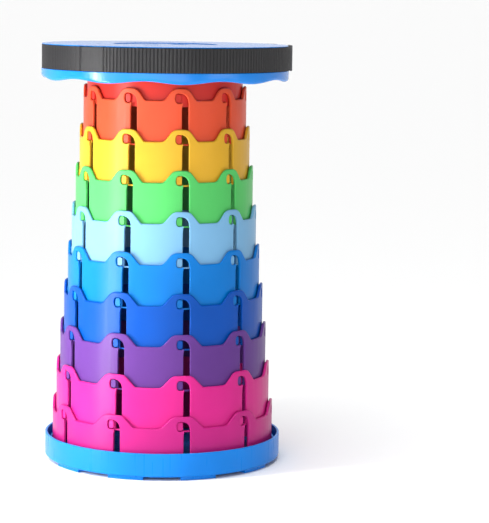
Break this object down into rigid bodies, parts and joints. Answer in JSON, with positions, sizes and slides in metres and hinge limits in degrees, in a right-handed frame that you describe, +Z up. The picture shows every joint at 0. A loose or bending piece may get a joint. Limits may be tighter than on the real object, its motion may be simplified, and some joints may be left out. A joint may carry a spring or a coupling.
{
  "type": "collapsible telescopic stool",
  "caption": "Round telescopic plastic stool of nested slotted rings between a flat base tray and a round seat, with a webbing belt and carry loop, shown extended.",
  "frame": {"origin": "on the stool's axis at floor level, one millimetre below the middle of the base hub's underside", "axes": "+Z up along the stool's axis, -Y the front as pictured, +X to the right of the front"},
  "size_m": [0.2539, 0.275, 0.4235],
  "materials": {
    "azure_plastic": "satin",
    "magenta_plastic": "satin",
    "purple_plastic": "satin",
    "royal_blue_plastic": "satin",
    "sky_blue_plastic": "satin",
    "light_blue_plastic": "satin",
    "green_plastic": "satin",
    "yellow_plastic": "satin",
    "red_orange_plastic": "satin",
    "screw_steel": "satin",
    "webbing": "matte",
    "buckle_plastic": "satin"
  },
  "bodies": {
    "base": {"base_pan": "azure_plastic", "ring_9": "magenta_plastic"},
    "ring_8": {"ring_8": "magenta_plastic"},
    "ring_7": {"ring_7": "purple_plastic"},
    "ring_6": {"ring_6": "royal_blue_plastic"},
    "ring_5": {"ring_5": "sky_blue_plastic"},
    "ring_4": {"ring_4": "light_blue_plastic"},
    "ring_3": {"ring_3": "green_plastic"},
    "ring_2": {"ring_2": "yellow_plastic"},
    "ring_1": {"ring_1": "red_orange_plastic"},
    "seat": {"core_tube": "red_orange_plastic", "seat_cover": "azure_plastic", "seat_screw_1": "screw_steel", "seat_screw_2": "screw_steel", "seat_screw_3": "screw_steel", "seat_screw_4": "screw_steel", "seat_screw_5": "screw_steel", "belt": "webbing", "belt_buckle": "buckle_plastic", "carry_handle": "webbing"},
    "cap": {"centre_cap": "azure_plastic"}
  },
  "joints": [
    {"name": "ring_8_slide", "type": "slide", "parent": "base", "child": "ring_8", "axis": [0, 0, 1], "range_m": [-0.04, 0]},
    {"name": "ring_7_slide", "type": "slide", "parent": "ring_8", "child": "ring_7", "axis": [0, 0, 1], "range_m": [-0.04, 0]},
    {"name": "ring_6_slide", "type": "slide", "parent": "ring_7", "child": "ring_6", "axis": [0, 0, 1], "range_m": [-0.04, 0]},
    {"name": "ring_5_slide", "type": "slide", "parent": "ring_6", "child": "ring_5", "axis": [0, 0, 1], "range_m": [-0.04, 0]},
    {"name": "ring_4_slide", "type": "slide", "parent": "ring_5", "child": "ring_4", "axis": [0, 0, 1], "range_m": [-0.04, 0]},
    {"name": "ring_3_slide", "type": "slide", "parent": "ring_4", "child": "ring_3", "axis": [0, 0, 1], "range_m": [-0.04, 0]},
    {"name": "ring_2_slide", "type": "slide", "parent": "ring_3", "child": "ring_2", "axis": [0, 0, 1], "range_m": [-0.04, 0]},
    {"name": "ring_1_slide", "type": "slide", "parent": "ring_2", "child": "ring_1", "axis": [0, 0, 1], "range_m": [-0.04, 0]},
    {"name": "seat_slide", "type": "slide", "parent": "ring_1", "child": "seat", "axis": [0, 0, 1], "range_m": [-0.0376, 0]},
    {"name": "cap_lift", "type": "slide", "parent": "seat", "child": "cap", "axis": [0, 0, 1], "range_m": [0, 0.03]}
  ]
}
